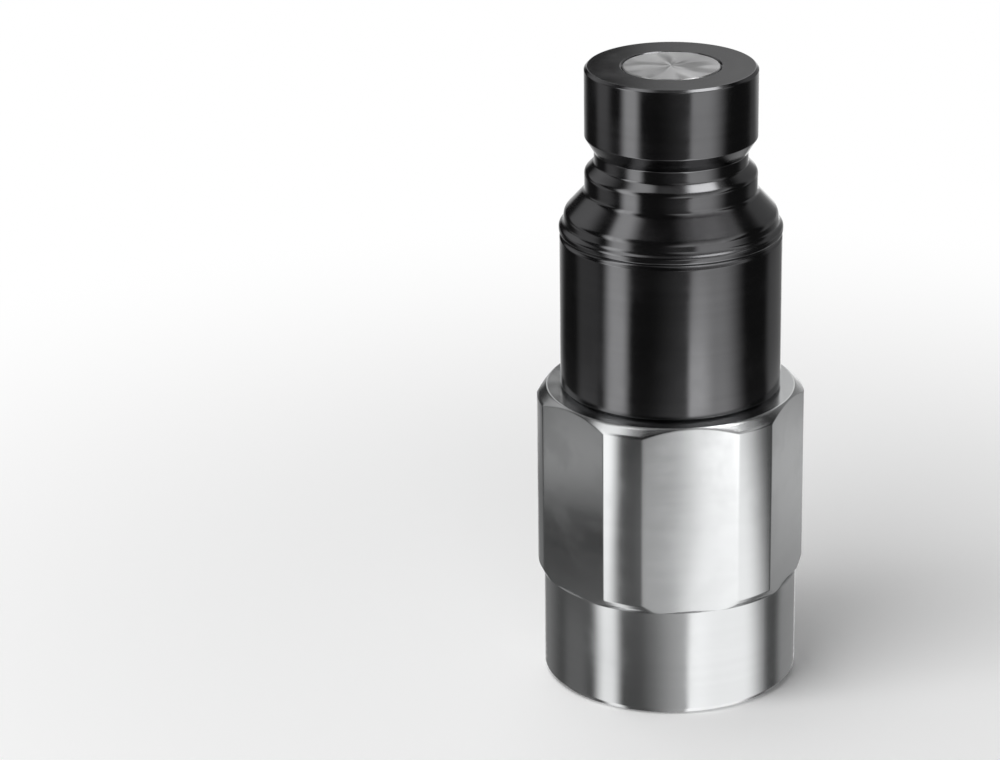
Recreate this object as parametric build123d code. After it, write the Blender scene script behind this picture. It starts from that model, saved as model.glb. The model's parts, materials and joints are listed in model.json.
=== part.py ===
from build123d import *

import os

# A flat face nipple of a hydraulic quick coupling, standing on its port face.
# Millimetres, +Z up along its axis, origin at the centre of the port face.

# Overall heights
adapter_length = 44.0
body_height = 47.4
front_face = adapter_length + body_height

# Adapter outside: round skirt, hexagon with turned corners, bevelled top
across_flats = 36.0
corner_radius = 19.2
flat_direction = -90.0
skirt_radius = 18.3
skirt_height = 15.9
foot_chamfer = 0.9
corner_taper_radius = 18.6
corner_taper_height = 1.3
hex_top_radius = 17.85

# Adapter inside: port, passage, pocket and threaded socket
port_radius = 12.06
port_depth = 17.5
port_chamfer = 1.3
passage_radius = 9.5
passage_length = 3.5
socket_gap = 0.5
socket_chamfer = 0.3

# Body outside, from the front face down
nose_radius = 12.25
nose_chamfer = 0.4
nose_land = 9.6
groove_radius = 10.9
groove_upper_flank = 2.2
groove_floor = 1.7
groove_lower_flank = 1.3
collar_length = 2.8
cone_length = 3.2
cone_radius = 15.15
shoulder_length = 1.4
shoulder_radius = 15.3
rim_taper = 0.6
rim_radius = 15.9
rim_length = 0.7
relief_radius = 15.4
relief_flank = 0.5
barrel_radius = 15.8
barrel_chamfer = 0.5

# Body spigot that screws into the adapter
spigot_radius = 14.3
spigot_length = 12.0
spigot_chamfer = 0.6
thread_fit = 0.05
undercut_radius = 13.6
undercut_length = 1.2

# Body inside
bore_radius = 6.95
bore_length = 6.0
bore_chamfer = 0.25
chamber_radius = 8.7
chamber_cone_length = 3.0
chamber_wall_height = 3.0
guide_chamber_radius = 10.4
insert_bore = 11.2

# Clearances
running_fit = 0.05
seat_fit = 0.03
insert_fit = 0.05
head_fit = 0.08
spring_fit = 0.25

# Seals
body_seal_floor = 12.7
body_ring_height = 1.8
body_backup_height = 0.9
body_seal_from_end = 1.4
valve_seal_floor = 5.35
valve_ring_height = 1.5
valve_backup_height = 0.9
valve_seal_from_face = 2.2
seat_seal_floor = 9.6
seat_ring_height = 1.7
groove_play = 0.2
ring_rounding = 0.6

# Poppet
head_edge_chamfer = 0.15
flange_gap = 0.5
flange_height = 2.2
flow_notch_radius = 1.6
flow_notches = 4
valve_boss_height = 2.0
stem_radius = 3.4
stem_chamfer = 0.5
main_travel = 7.0

# Stem guide
guide_height = 4.0
guide_rim = 1.25
guide_hub_height = 10.0
bush_wall = 0.75
bush_flange_radius = 5.0
bush_flange_height = 0.8
spring_ledge = 0.45
spoke_count = 3
spoke_width = 3.4
window_corner = 0.7

# Check valve seat ring
seat_height = 5.5
seat_bore = 5.8
seat_funnel_radius = 9.0
seat_funnel_depth = 3.0

# Check valve cage
cage_length = 23.5
cage_wall = 1.55
cage_web = 3.5
cage_hub_rise = 3.0

# Check valve
check_head_gap = 1.4
check_head_height = 3.0
check_boss_height = 2.0
check_stem_radius = 3.45
check_stem_past_cage = 1.0
check_travel = 5.5
check_seal_rim = 0.6
check_seal_height = 1.0
check_seal_bore = 3.4
bleed_radius = 0.7
bleed_below_boss = 5.0

# Retainer and pilot valve
retainer_radius = 5.5
retainer_height = 1.5
retainer_chamfer = 0.3
retainer_shank_radius = 3.0
retainer_shank_length = 4.0
spanner_holes = 2
spanner_hole_radius = 0.6
spanner_hole_circle = 3.9
pilot_hole_radius = 1.5
pilot_tip_radius = 1.2
pilot_lead = 0.3
pilot_chamber_radius = 2.3
pilot_head_height = 2.5
pilot_head_flats = 3
pilot_head_flat = 1.9
pilot_tail_radius = 1.0
pilot_tail_length = 1.5
plug_length = 3.0
plug_slot_width = 0.8
plug_slot_depth = 1.0

# Springs: mean radius, wire and turns
main_spring_radius = 6.2
main_spring_wire = 1.5
main_spring_turns = 7.5
check_spring_radius = 6.2
check_spring_wire = 1.3
check_spring_turns = 5.5
pilot_spring_radius = 1.6
pilot_spring_wire = 0.5
pilot_spring_turns = 9.0

# How far a cut runs past the face that it opens
cut_past = 1.0

# Levels worked out from the sizes above
spigot_end = adapter_length - spigot_length
nose_land_end = front_face - nose_chamfer - nose_land
groove_top = nose_land_end - groove_upper_flank
groove_bottom = groove_top - groove_floor
collar_top = groove_bottom - groove_lower_flank
collar_bottom = collar_top - collar_length
cone_bottom = collar_bottom - cone_length
shoulder_bottom = cone_bottom - shoulder_length
rim_top = shoulder_bottom - rim_taper
rim_bottom = rim_top - rim_length
relief_level = rim_bottom - relief_flank
barrel_top = relief_level - relief_flank
stop_shoulder = front_face - bore_length
chamber_end = collar_bottom - chamber_wall_height
cage_bottom = port_depth + passage_length
seat_bottom = cage_bottom + cage_length
guide_bottom = seat_bottom + seat_height
guide_top = guide_bottom + guide_height
insert_radius = insert_bore - insert_fit
socket_radius = spigot_radius + thread_fit

# Moving valves: where they meet and how far they go
retainer_top = seat_bottom + retainer_height
end_gap = 0.05
stem_end = retainer_top + main_travel - check_travel + end_gap
pilot_travel = main_travel - check_travel - pilot_lead
pilot_tip = retainer_top + pilot_travel
pilot_seat = seat_bottom - retainer_shank_length
check_rear = seat_bottom - check_head_height
check_stem_end = cage_bottom - check_stem_past_cage
plug_top = check_stem_end + plug_length

# Spring seats
main_hub_radius = main_spring_radius - main_spring_wire / 2 - spring_fit
main_seat_radius = main_spring_radius + main_spring_wire / 2 + spring_ledge
check_hub_radius = check_spring_radius - check_spring_wire / 2 - spring_fit
check_seat_radius = check_spring_radius + check_spring_wire / 2 + spring_ledge
cage_web_top = cage_bottom + cage_web


def turned(*outline):
    """A solid of revolution about Z from an outline of (radius, height) points."""
    edges = Polyline(*[(radius, 0, height) for radius, height in outline], close=True)
    return revolve(make_face(edges), Axis.Z)


def ring(inner, outer, low, high):
    """A plain ring with square edges."""
    return turned((inner, low), (outer, low), (outer, high), (inner, high))


def soft_ring(inner, outer, low, high):
    """A seal ring whose section has rounded corners."""
    middle = Pos((inner + outer) / 2, (low + high) / 2)
    section = RectangleRounded(outer - inner, high - low, ring_rounding)
    return revolve(Plane.XZ * middle * section, Axis.Z)


def seal_groove(floor, outer, low, ring_height, backup_height=0.0):
    """The ring-shaped space that a seal and its backup ring lie in."""
    return ring(floor, outer, low, low + ring_height + backup_height + groove_play)


def flow_windows(inner, outer, low, high):
    """The openings between the spokes of a spider."""
    middle = (low + high) / 2
    spoke = Pos(outer / 2, 0, middle) * Box(outer, spoke_width, 2 * (high - low))
    spokes = PolarLocations(0, spoke_count) * spoke
    windows = ring(inner, outer, low, high) - spokes
    return fillet(windows.edges().filter_by(Axis.Z), window_corner)


def coil_spring(mean_radius, wire, turns, low, high):
    """A coil with both ends ground flat, standing between two seats."""
    height = high - low
    path = Pos(0, 0, low) * Helix(height / turns, height, mean_radius)
    section = Plane(path @ 0, z_dir=path % 0) * Circle(wire / 2)
    coil = sweep(section, path=path, is_frenet=True)
    between_seats = Pos(0, 0, (low + high) / 2) * Cylinder(mean_radius + wire, height)
    return coil & between_seats


def make_adapter():
    """Hexagon piece with the female port below and the socket for the body above."""
    bevel = corner_radius - hex_top_radius
    blank = turned(
        (0, 0),
        (skirt_radius - foot_chamfer, 0),
        (skirt_radius, foot_chamfer),
        (skirt_radius, skirt_height),
        (corner_taper_radius, skirt_height),
        (corner_radius, skirt_height + corner_taper_height),
        (corner_radius, adapter_length - bevel),
        (hex_top_radius, adapter_length),
        (0, adapter_length),
    )
    hex_height = adapter_length - skirt_height
    hexagon = RegularPolygon(across_flats / 2, 6, major_radius=False, rotation=flat_direction + 30)
    prism = Pos(0, 0, skirt_height) * extrude(hexagon, hex_height)
    outside = ring(across_flats / 4, 2 * corner_radius, skirt_height, adapter_length)
    blank -= outside - prism
    socket_floor = spigot_end - socket_gap
    bore = turned(
        (0, -cut_past),
        (port_radius + port_chamfer + cut_past, -cut_past),
        (port_radius, port_chamfer),
        (port_radius, port_depth),
        (passage_radius, port_depth),
        (passage_radius, cage_bottom),
        (insert_bore, cage_bottom),
        (insert_bore, socket_floor),
        (socket_radius, socket_floor),
        (socket_radius, adapter_length - socket_chamfer),
        (socket_radius + socket_chamfer, adapter_length),
        (socket_radius + socket_chamfer, adapter_length + cut_past),
        (0, adapter_length + cut_past),
    )
    return blank - bore


def make_body():
    """Black turned body: nose, locking groove, collar, cone, shoulder, rim, barrel and spigot."""
    outside = turned(
        (0, spigot_end),
        (spigot_radius - spigot_chamfer, spigot_end),
        (spigot_radius, spigot_end + spigot_chamfer),
        (spigot_radius, adapter_length - undercut_length),
        (undercut_radius, adapter_length - undercut_length),
        (undercut_radius, adapter_length),
        (barrel_radius - barrel_chamfer, adapter_length),
        (barrel_radius, adapter_length + barrel_chamfer),
        (barrel_radius, barrel_top),
        (relief_radius, relief_level),
        (rim_radius, rim_bottom),
        (rim_radius, rim_top),
        (shoulder_radius, shoulder_bottom),
        (cone_radius, cone_bottom),
        (nose_radius, collar_bottom),
        (nose_radius, collar_top),
        (groove_radius, groove_bottom),
        (groove_radius, groove_top),
        (nose_radius, nose_land_end),
        (nose_radius, front_face - nose_chamfer),
        (nose_radius - nose_chamfer, front_face),
        (0, front_face),
    )
    inside = turned(
        (0, spigot_end - cut_past),
        (insert_bore, spigot_end - cut_past),
        (insert_bore, guide_top),
        (guide_chamber_radius, guide_top),
        (guide_chamber_radius, chamber_end - chamber_cone_length),
        (chamber_radius, chamber_end),
        (chamber_radius, stop_shoulder),
        (bore_radius, stop_shoulder),
        (bore_radius, front_face - bore_chamfer),
        (bore_radius + bore_chamfer, front_face),
        (bore_radius + bore_chamfer, front_face + cut_past),
        (0, front_face + cut_past),
    )
    groove = seal_groove(
        body_seal_floor,
        spigot_radius + cut_past,
        spigot_end + body_seal_from_end,
        body_ring_height,
        body_backup_height,
    )
    return outside - inside - groove


def make_body_seals():
    """O-ring and backup ring in the groove of the spigot."""
    low = spigot_end + body_seal_from_end + groove_play / 2
    middle = low + body_ring_height
    inner = body_seal_floor + seat_fit
    outer = socket_radius - seat_fit
    o_ring = soft_ring(inner, outer, low, middle)
    return o_ring, ring(inner, outer, middle, middle + body_backup_height)


def make_main_valve():
    """Flat-faced poppet with its seal groove, notched stop flange, boss and long stem."""
    head_radius = bore_radius - head_fit
    flange_radius = chamber_radius - flange_gap
    flange_bottom = stop_shoulder - flange_height
    boss_bottom = flange_bottom - valve_boss_height
    valve = turned(
        (0, stem_end),
        (stem_radius - stem_chamfer, stem_end),
        (stem_radius, stem_end + stem_chamfer),
        (stem_radius, boss_bottom),
        (main_hub_radius, boss_bottom),
        (main_hub_radius, flange_bottom),
        (flange_radius, flange_bottom),
        (flange_radius, stop_shoulder),
        (head_radius, stop_shoulder),
        (head_radius, front_face - head_edge_chamfer),
        (head_radius - head_edge_chamfer, front_face),
        (0, front_face),
    )
    seal_height = valve_ring_height + valve_backup_height + groove_play
    seal_low = front_face - valve_seal_from_face - seal_height
    valve -= seal_groove(
        valve_seal_floor, bore_radius + cut_past, seal_low, valve_ring_height, valve_backup_height
    )
    notch_height = 2 * flange_height
    notch = Pos(0, 0, stop_shoulder - flange_height / 2) * Cylinder(flow_notch_radius, notch_height)
    notch &= Pos(0, 0, stop_shoulder - flange_height) * Box(
        4 * flow_notch_radius, 4 * flow_notch_radius, 2 * flange_height
    )
    return valve - PolarLocations(flange_radius + spring_fit, flow_notches) * notch


def make_valve_seals():
    """O-ring and backup ring in the groove of the poppet."""
    seal_height = valve_ring_height + valve_backup_height + groove_play
    low = front_face - valve_seal_from_face - seal_height + groove_play / 2
    middle = low + valve_ring_height
    inner = valve_seal_floor + seat_fit
    outer = bore_radius - running_fit
    o_ring = soft_ring(inner, outer, low, middle)
    return o_ring, ring(inner, outer, middle, middle + valve_backup_height)


def make_valve_guide():
    """Spider that guides the stem: rim, three spokes and a hub under the main spring."""
    hub_bore = stem_radius + running_fit + bush_wall + seat_fit
    hub_top = guide_bottom + guide_hub_height
    blank = turned(
        (hub_bore, guide_bottom),
        (insert_radius, guide_bottom),
        (insert_radius, guide_top),
        (main_hub_radius, guide_top),
        (main_hub_radius, hub_top),
        (hub_bore, hub_top),
    )
    rim_inner = insert_radius - guide_rim
    return blank - flow_windows(main_seat_radius, rim_inner, guide_bottom, guide_top)


def make_guide_bush():
    """Flanged bearing bush for the poppet's stem."""
    bore = stem_radius + running_fit
    outer = bore + bush_wall
    flange_bottom = guide_bottom + guide_hub_height
    flange_top = flange_bottom + bush_flange_height
    return turned(
        (bore, guide_bottom),
        (outer, guide_bottom),
        (outer, flange_bottom),
        (bush_flange_radius, flange_bottom),
        (bush_flange_radius, flange_top),
        (bore, flange_top),
    )


def make_check_seat():
    """Ring that the check valve closes against, with a funnel above and a seal outside."""
    seat = turned(
        (seat_bore, seat_bottom),
        (insert_radius, seat_bottom),
        (insert_radius, guide_bottom),
        (seat_funnel_radius, guide_bottom),
        (seat_bore, guide_bottom - seat_funnel_depth),
    )
    low = seat_seal_low()
    return seat - seal_groove(seat_seal_floor, insert_bore + cut_past, low, seat_ring_height)


def seat_seal_low():
    """Lower edge of the seal groove round the seat ring."""
    return seat_bottom + (seat_height - seat_ring_height - groove_play) / 2


def make_seat_seal():
    """O-ring round the seat ring."""
    low = seat_seal_low() + groove_play / 2
    outer = insert_bore - seat_fit
    return soft_ring(seat_seal_floor + seat_fit, outer, low, low + seat_ring_height)


def make_check_cage():
    """Sleeve with a spider at its bottom that carries the check spring and guides the stem."""
    hub_bore = check_stem_radius + running_fit + bush_wall + seat_fit
    hub_top = cage_web_top + cage_hub_rise
    cage_inner = insert_radius - cage_wall
    blank = turned(
        (hub_bore, cage_bottom),
        (insert_radius, cage_bottom),
        (insert_radius, seat_bottom),
        (cage_inner, seat_bottom),
        (cage_inner, cage_web_top),
        (check_hub_radius, cage_web_top),
        (check_hub_radius, hub_top),
        (hub_bore, hub_top),
    )
    window_outer = min(cage_inner, passage_radius)
    return blank - flow_windows(check_seat_radius, window_outer, cage_bottom, cage_web_top)


def make_cage_bush():
    """Flanged bearing bush for the check valve's stem."""
    bore = check_stem_radius + running_fit
    outer = bore + bush_wall
    flange_bottom = cage_web_top + cage_hub_rise
    flange_top = flange_bottom + bush_flange_height
    return turned(
        (bore, cage_bottom),
        (outer, cage_bottom),
        (outer, flange_bottom),
        (bush_flange_radius, flange_bottom),
        (bush_flange_radius, flange_top),
        (bore, flange_top),
    )


def make_check_valve():
    """Check valve: head with a seal recess, boss, hollow stem and bleed holes."""
    head_radius = insert_radius - cage_wall - check_head_gap
    boss_bottom = check_rear - check_boss_height
    seal_floor = seat_bottom - check_seal_height
    valve = turned(
        (pilot_chamber_radius, check_stem_end),
        (check_stem_radius, check_stem_end),
        (check_stem_radius, boss_bottom),
        (check_hub_radius, boss_bottom),
        (check_hub_radius, check_rear),
        (head_radius, check_rear),
        (head_radius, seat_bottom),
        (head_radius - check_seal_rim, seat_bottom),
        (head_radius - check_seal_rim, seal_floor),
        (retainer_shank_radius + seat_fit, seal_floor),
        (retainer_shank_radius + seat_fit, pilot_seat),
        (pilot_chamber_radius, pilot_seat),
    )
    level = boss_bottom - bleed_below_boss
    bleed = Pos(0, 0, level) * Rot(0, 90, 0) * Cylinder(bleed_radius, 4 * check_stem_radius)
    return valve - bleed


def make_check_seal():
    """Flat sealing ring in the check valve's head."""
    outer = insert_radius - cage_wall - check_head_gap - check_seal_rim - seat_fit
    return ring(check_seal_bore, outer, seat_bottom - check_seal_height, seat_bottom)


def make_seal_retainer():
    """Screwed disc that holds the sealing ring, with the pilot hole and two spanner holes."""
    retainer = turned(
        (pilot_hole_radius, pilot_seat),
        (retainer_shank_radius, pilot_seat),
        (retainer_shank_radius, seat_bottom),
        (retainer_radius, seat_bottom),
        (retainer_radius, retainer_top - retainer_chamfer),
        (retainer_radius - retainer_chamfer, retainer_top),
        (pilot_hole_radius, retainer_top),
    )
    hole = Pos(0, 0, retainer_top) * Cylinder(spanner_hole_radius, retainer_height)
    return retainer - PolarLocations(spanner_hole_circle, spanner_holes) * hole


def make_pilot_pin():
    """Small valve: thin tip through the retainer, flatted head and a tail for its spring."""
    head_radius = pilot_chamber_radius - running_fit
    head_bottom = pilot_seat - pilot_head_height
    tail_end = head_bottom - pilot_tail_length
    pin = turned(
        (0, tail_end),
        (pilot_tail_radius, tail_end),
        (pilot_tail_radius, head_bottom),
        (head_radius, head_bottom),
        (head_radius, pilot_seat),
        (pilot_tip_radius, pilot_seat),
        (pilot_tip_radius, pilot_tip),
        (0, pilot_tip),
    )
    flat = Pos(0, 0, head_bottom + pilot_head_height / 2) * Box(
        2 * (head_radius - pilot_head_flat), 2 * head_radius, 2 * pilot_head_height
    )
    return pin - PolarLocations(head_radius, pilot_head_flats) * flat


def make_pilot_plug():
    """Screw that closes the pilot chamber, with a driver slot below."""
    outer = pilot_chamber_radius - seat_fit
    plug = turned((0, check_stem_end), (outer, check_stem_end), (outer, plug_top), (0, plug_top))
    slot = Box(3 * outer, plug_slot_width, 2 * plug_slot_depth)
    return plug - Pos(0, 0, check_stem_end) * slot


def make_springs():
    """Main spring, check spring and pilot spring."""
    flange_bottom = stop_shoulder - flange_height
    main = coil_spring(
        main_spring_radius, main_spring_wire, main_spring_turns, guide_top, flange_bottom
    )
    check = coil_spring(
        check_spring_radius, check_spring_wire, check_spring_turns, cage_web_top, check_rear
    )
    pilot = coil_spring(
        pilot_spring_radius,
        pilot_spring_wire,
        pilot_spring_turns,
        plug_top,
        pilot_seat - pilot_head_height,
    )
    return main, check, pilot


def main():
    """Build every piece and write one STEP file for each."""
    body_o_ring, body_backup_ring = make_body_seals()
    valve_o_ring, valve_backup_ring = make_valve_seals()
    main_spring, check_spring, pilot_spring = make_springs()
    pieces = {
        "nipple_body": make_body(),
        "adapter": make_adapter(),
        "body_o_ring": body_o_ring,
        "body_backup_ring": body_backup_ring,
        "main_valve": make_main_valve(),
        "valve_o_ring": valve_o_ring,
        "valve_backup_ring": valve_backup_ring,
        "main_spring": main_spring,
        "valve_guide": make_valve_guide(),
        "guide_bush": make_guide_bush(),
        "check_seat": make_check_seat(),
        "seat_o_ring": make_seat_seal(),
        "check_cage": make_check_cage(),
        "cage_bush": make_cage_bush(),
        "check_valve": make_check_valve(),
        "check_seal": make_check_seal(),
        "seal_retainer": make_seal_retainer(),
        "check_spring": check_spring,
        "pilot_pin": make_pilot_pin(),
        "pilot_spring": pilot_spring,
        "pilot_plug": make_pilot_plug(),
    }
    os.makedirs("parts", exist_ok=True)
    for name, piece in pieces.items():
        export_step(piece, f"parts/{name}.step")
    print("pieces", len(pieces), "height", front_face)
    print("travel: main", main_travel, "check", check_travel, "pilot", pilot_travel)


main()
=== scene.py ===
"""Looks of a flat face coupling nipple: turned, milled and threaded surfaces, finishes, studio and camera.

Sizes in the classes are millimetres and angles are degrees. Points go to metres when they become a mesh.
"""

import json
import logging
import math
from dataclasses import dataclass
from enum import Enum

import bpy
import numpy as np
from mathutils import Matrix, Vector


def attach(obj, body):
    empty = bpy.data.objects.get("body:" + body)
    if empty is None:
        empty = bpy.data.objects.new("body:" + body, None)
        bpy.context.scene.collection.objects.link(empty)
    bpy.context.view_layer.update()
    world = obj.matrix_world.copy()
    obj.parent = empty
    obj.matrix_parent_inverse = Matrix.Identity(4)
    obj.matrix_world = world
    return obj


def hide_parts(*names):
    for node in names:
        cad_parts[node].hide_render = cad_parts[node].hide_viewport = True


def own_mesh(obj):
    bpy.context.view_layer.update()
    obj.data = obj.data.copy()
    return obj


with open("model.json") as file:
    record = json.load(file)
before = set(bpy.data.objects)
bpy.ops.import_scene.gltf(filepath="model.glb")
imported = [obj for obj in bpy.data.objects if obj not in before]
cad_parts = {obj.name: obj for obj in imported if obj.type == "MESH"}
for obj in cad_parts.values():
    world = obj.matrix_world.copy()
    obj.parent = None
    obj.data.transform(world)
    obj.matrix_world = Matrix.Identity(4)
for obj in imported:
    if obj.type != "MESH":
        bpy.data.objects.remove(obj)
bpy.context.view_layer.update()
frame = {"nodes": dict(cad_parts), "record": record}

METRES = 0.001
TURN = 2.0 * math.pi
EDGE_ATTRIBUTE = "edge"
# Direction of view, in degrees to the right of +Y
CAMERA_HEADING = 8.85
# Rounding in millimetres of an outline's point that lies on a smooth run, where no edge shows
NO_ROUNDING = 0.0001
# Longest share of a side that the arc at its end may take up
ARC_ROOM = 0.42
# How far beyond an arc's end the point beside it lies, as a share of the room there and in millimetres
SUPPORT_SHARE = 0.25
SUPPORT_FLAT = 0.02
# Even angles nearer than this share of their step to a mark's own angles are left out
CROWDED = 0.35

log = logging.getLogger("nipple")


class Slot(Enum):
    """Material slots of the record."""

    BLACK = "black_steel"
    BRIGHT = "bright_steel"
    VALVE = "valve_steel"
    INNER = "inner_steel"
    SPRING = "spring_steel"
    BRONZE = "bush_bronze"
    RUBBER = "seal_rubber"
    PLASTIC = "ring_plastic"


class Body(Enum):
    """Bodies that the new pieces ride on."""

    HOUSING = "housing"
    MAIN_VALVE = "main_valve"
    CHECK_VALVE = "check_valve"


def soft_step(share: np.ndarray) -> np.ndarray:
    """Three times the square less twice the cube of a share that is held between 0 and 1."""
    share = np.clip(share, 0.0, 1.0)
    return share * share * (3.0 - 2.0 * share)


def corner_arcs(
    before: np.ndarray, corners: np.ndarray, after: np.ndarray, radii: np.ndarray, steps: int
) -> np.ndarray:
    """Rounds the corners of an outline.

    Each corner becomes an arc that touches both its sides. The arc is the turn from one radius vector to the
    other about the arc's centre, and one more point on each side keeps that side flat in smooth shading.

    Args:
        before: Neighbours before the corners, (count, 2).
        corners: Corner points, (count, 2).
        after: Neighbours after the corners, (count, 2).
        radii: Radius of each corner, (count,).
        steps: Parts that each arc is divided into.

    Returns:
        Points and edge marks, (count, steps + 3, 3), where the third value is 1 in the middle of an arc.
    """
    to_before = before - corners
    to_after = after - corners
    length_before = np.linalg.norm(to_before, axis=1)
    length_after = np.linalg.norm(to_after, axis=1)
    to_before = to_before / length_before[:, None]
    to_after = to_after / length_after[:, None]
    half_angle = 0.5 * np.arccos(np.clip((to_before * to_after).sum(axis=1), -1.0, 1.0))
    room = ARC_ROOM * np.minimum(length_before, length_after)
    reach = np.minimum(radii / np.tan(half_angle), room)
    radius = reach * np.tan(half_angle)
    middle = to_before + to_after
    middle = middle / np.linalg.norm(middle, axis=1)[:, None]
    centre = corners + middle * (radius / np.sin(half_angle))[:, None]
    first = corners + to_before * reach[:, None] - centre
    last = corners + to_after * reach[:, None] - centre
    sweep = (math.pi - 2.0 * half_angle)[:, None, None]
    share = np.linspace(0.0, 1.0, steps + 1)[None, :, None]
    arc = centre[:, None, :] + (
        first[:, None, :] * np.sin((1.0 - share) * sweep) + last[:, None, :] * np.sin(share * sweep)
    ) / np.sin(sweep)
    support = reach + SUPPORT_SHARE * np.minimum(room, 3.0 * radius + SUPPORT_FLAT)
    lead_in = (corners + to_before * support[:, None])[:, None, :]
    lead_out = (corners + to_after * support[:, None])[:, None, :]
    points = np.concatenate([lead_in, arc, lead_out], axis=1)
    mark = np.zeros(points.shape[:2])
    mark[:, 1:-1] = np.sin(math.pi * share[:, :, 0])
    return np.concatenate([points, mark[:, :, None]], axis=2)


def rounded_outline(corners: list[tuple[float, float, float]], closed: bool, steps: int = 4) -> np.ndarray:
    """Outline of a turned part with every corner rounded.

    Args:
        corners: Radius, height and rounding of each corner, counterclockwise with the radius to the right.
        closed: True for a ring, False for a bar whose first and last corners lie on the axis.
        steps: Parts that each arc is divided into.

    Returns:
        Radius, height and edge mark of each point, (count, 3).
    """
    table = np.array(corners, float)
    points = table[:, :2]
    if closed:
        before, after = np.roll(points, 1, axis=0), np.roll(points, -1, axis=0)
        return corner_arcs(before, points, after, table[:, 2], steps).reshape(-1, 3)
    arcs = corner_arcs(points[:-2], points[1:-1], points[2:], table[1:-1, 2], steps).reshape(-1, 3)
    ends = np.column_stack([points[[0, -1]], np.zeros(2)])
    return np.concatenate([ends[:1], arcs, ends[1:]])


def angles_round(count: int, marks: np.ndarray, spread: np.ndarray) -> np.ndarray:
    """Angles of the columns round the axis, closer together near given marks.

    Even angles that come near a mark make way for the mark's own angles.

    Args:
        count: Number of even angles in a full turn.
        marks: Angles in radians where an edge runs along the axis.
        spread: Offsets in radians of the columns beside each mark.

    Returns:
        Rising angles in radians within one turn.
    """
    even = np.arange(count) * TURN / count
    own = (marks[:, None] + spread[None, :]).ravel() % TURN
    gap = np.abs((even[:, None] - own[None, :] + math.pi) % TURN - math.pi).min(axis=1)
    return np.unique(np.round(np.concatenate([even[gap > CROWDED * TURN / count], own]), 9))


def plain_turn(count: int) -> np.ndarray:
    """Even angles of a full turn in radians, from zero."""
    return np.arange(count) * TURN / count


def soft_minimum(first: np.ndarray, second: np.ndarray, width: float) -> np.ndarray:
    """Lower of two surfaces, with the edge where they meet rounded over a width.

    Within the width the result is the blend of both less a parabola, so it never rises above either.
    """
    share = np.clip(0.5 + 0.5 * (second - first) / width, 0.0, 1.0)
    return second + (first - second) * share - width * share * (1.0 - share)


def swept_points(radius: np.ndarray, height: np.ndarray, angles: np.ndarray) -> np.ndarray:
    """Points of a surface given by radius and height over the angle.

    A point is its radius times the cosine and the sine of its angle, at its height.
    """
    radius, height, angles = np.broadcast_arrays(radius, height, angles[None, :])
    return np.stack([radius * np.cos(angles), radius * np.sin(angles), height], axis=-1)


def grid_faces(rows: int, columns: int, wrap_rows: bool) -> np.ndarray:
    """Four-cornered faces of a grid whose columns close on themselves, (count, 4)."""
    row = np.arange(rows if wrap_rows else rows - 1)[:, None]
    column = np.arange(columns)[None, :]
    next_row = (row + 1) % rows
    next_column = (column + 1) % columns
    corners = [
        row * columns + column,
        row * columns + next_column,
        next_row * columns + next_column,
        next_row * columns + column,
    ]
    return np.stack(np.broadcast_arrays(*corners), axis=-1).reshape(-1, 4)


def new_object(name: str, data: bpy.types.ID) -> bpy.types.Object:
    """Makes an object of its data and links it to the scene."""
    thing = bpy.data.objects.new(name, data)
    bpy.context.scene.collection.objects.link(thing)
    return thing


def open_sheet(name: str, points: np.ndarray, turned: bool) -> bpy.types.Object:
    """Makes one sheet from a grid of points whose columns close on themselves.

    Args:
        name: Name of the object.
        points: Grid in millimetres, (rows, columns, 3).
        turned: True to turn its faces over.

    Returns:
        The object, linked to the scene.
    """
    faces = grid_faces(*points.shape[:2], False)
    if turned:
        faces = faces[:, ::-1]
    mesh = bpy.data.meshes.new(name)
    mesh.from_pydata((points.reshape(-1, 3) * METRES).tolist(), [], faces.tolist())
    return new_object(name, mesh)


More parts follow.
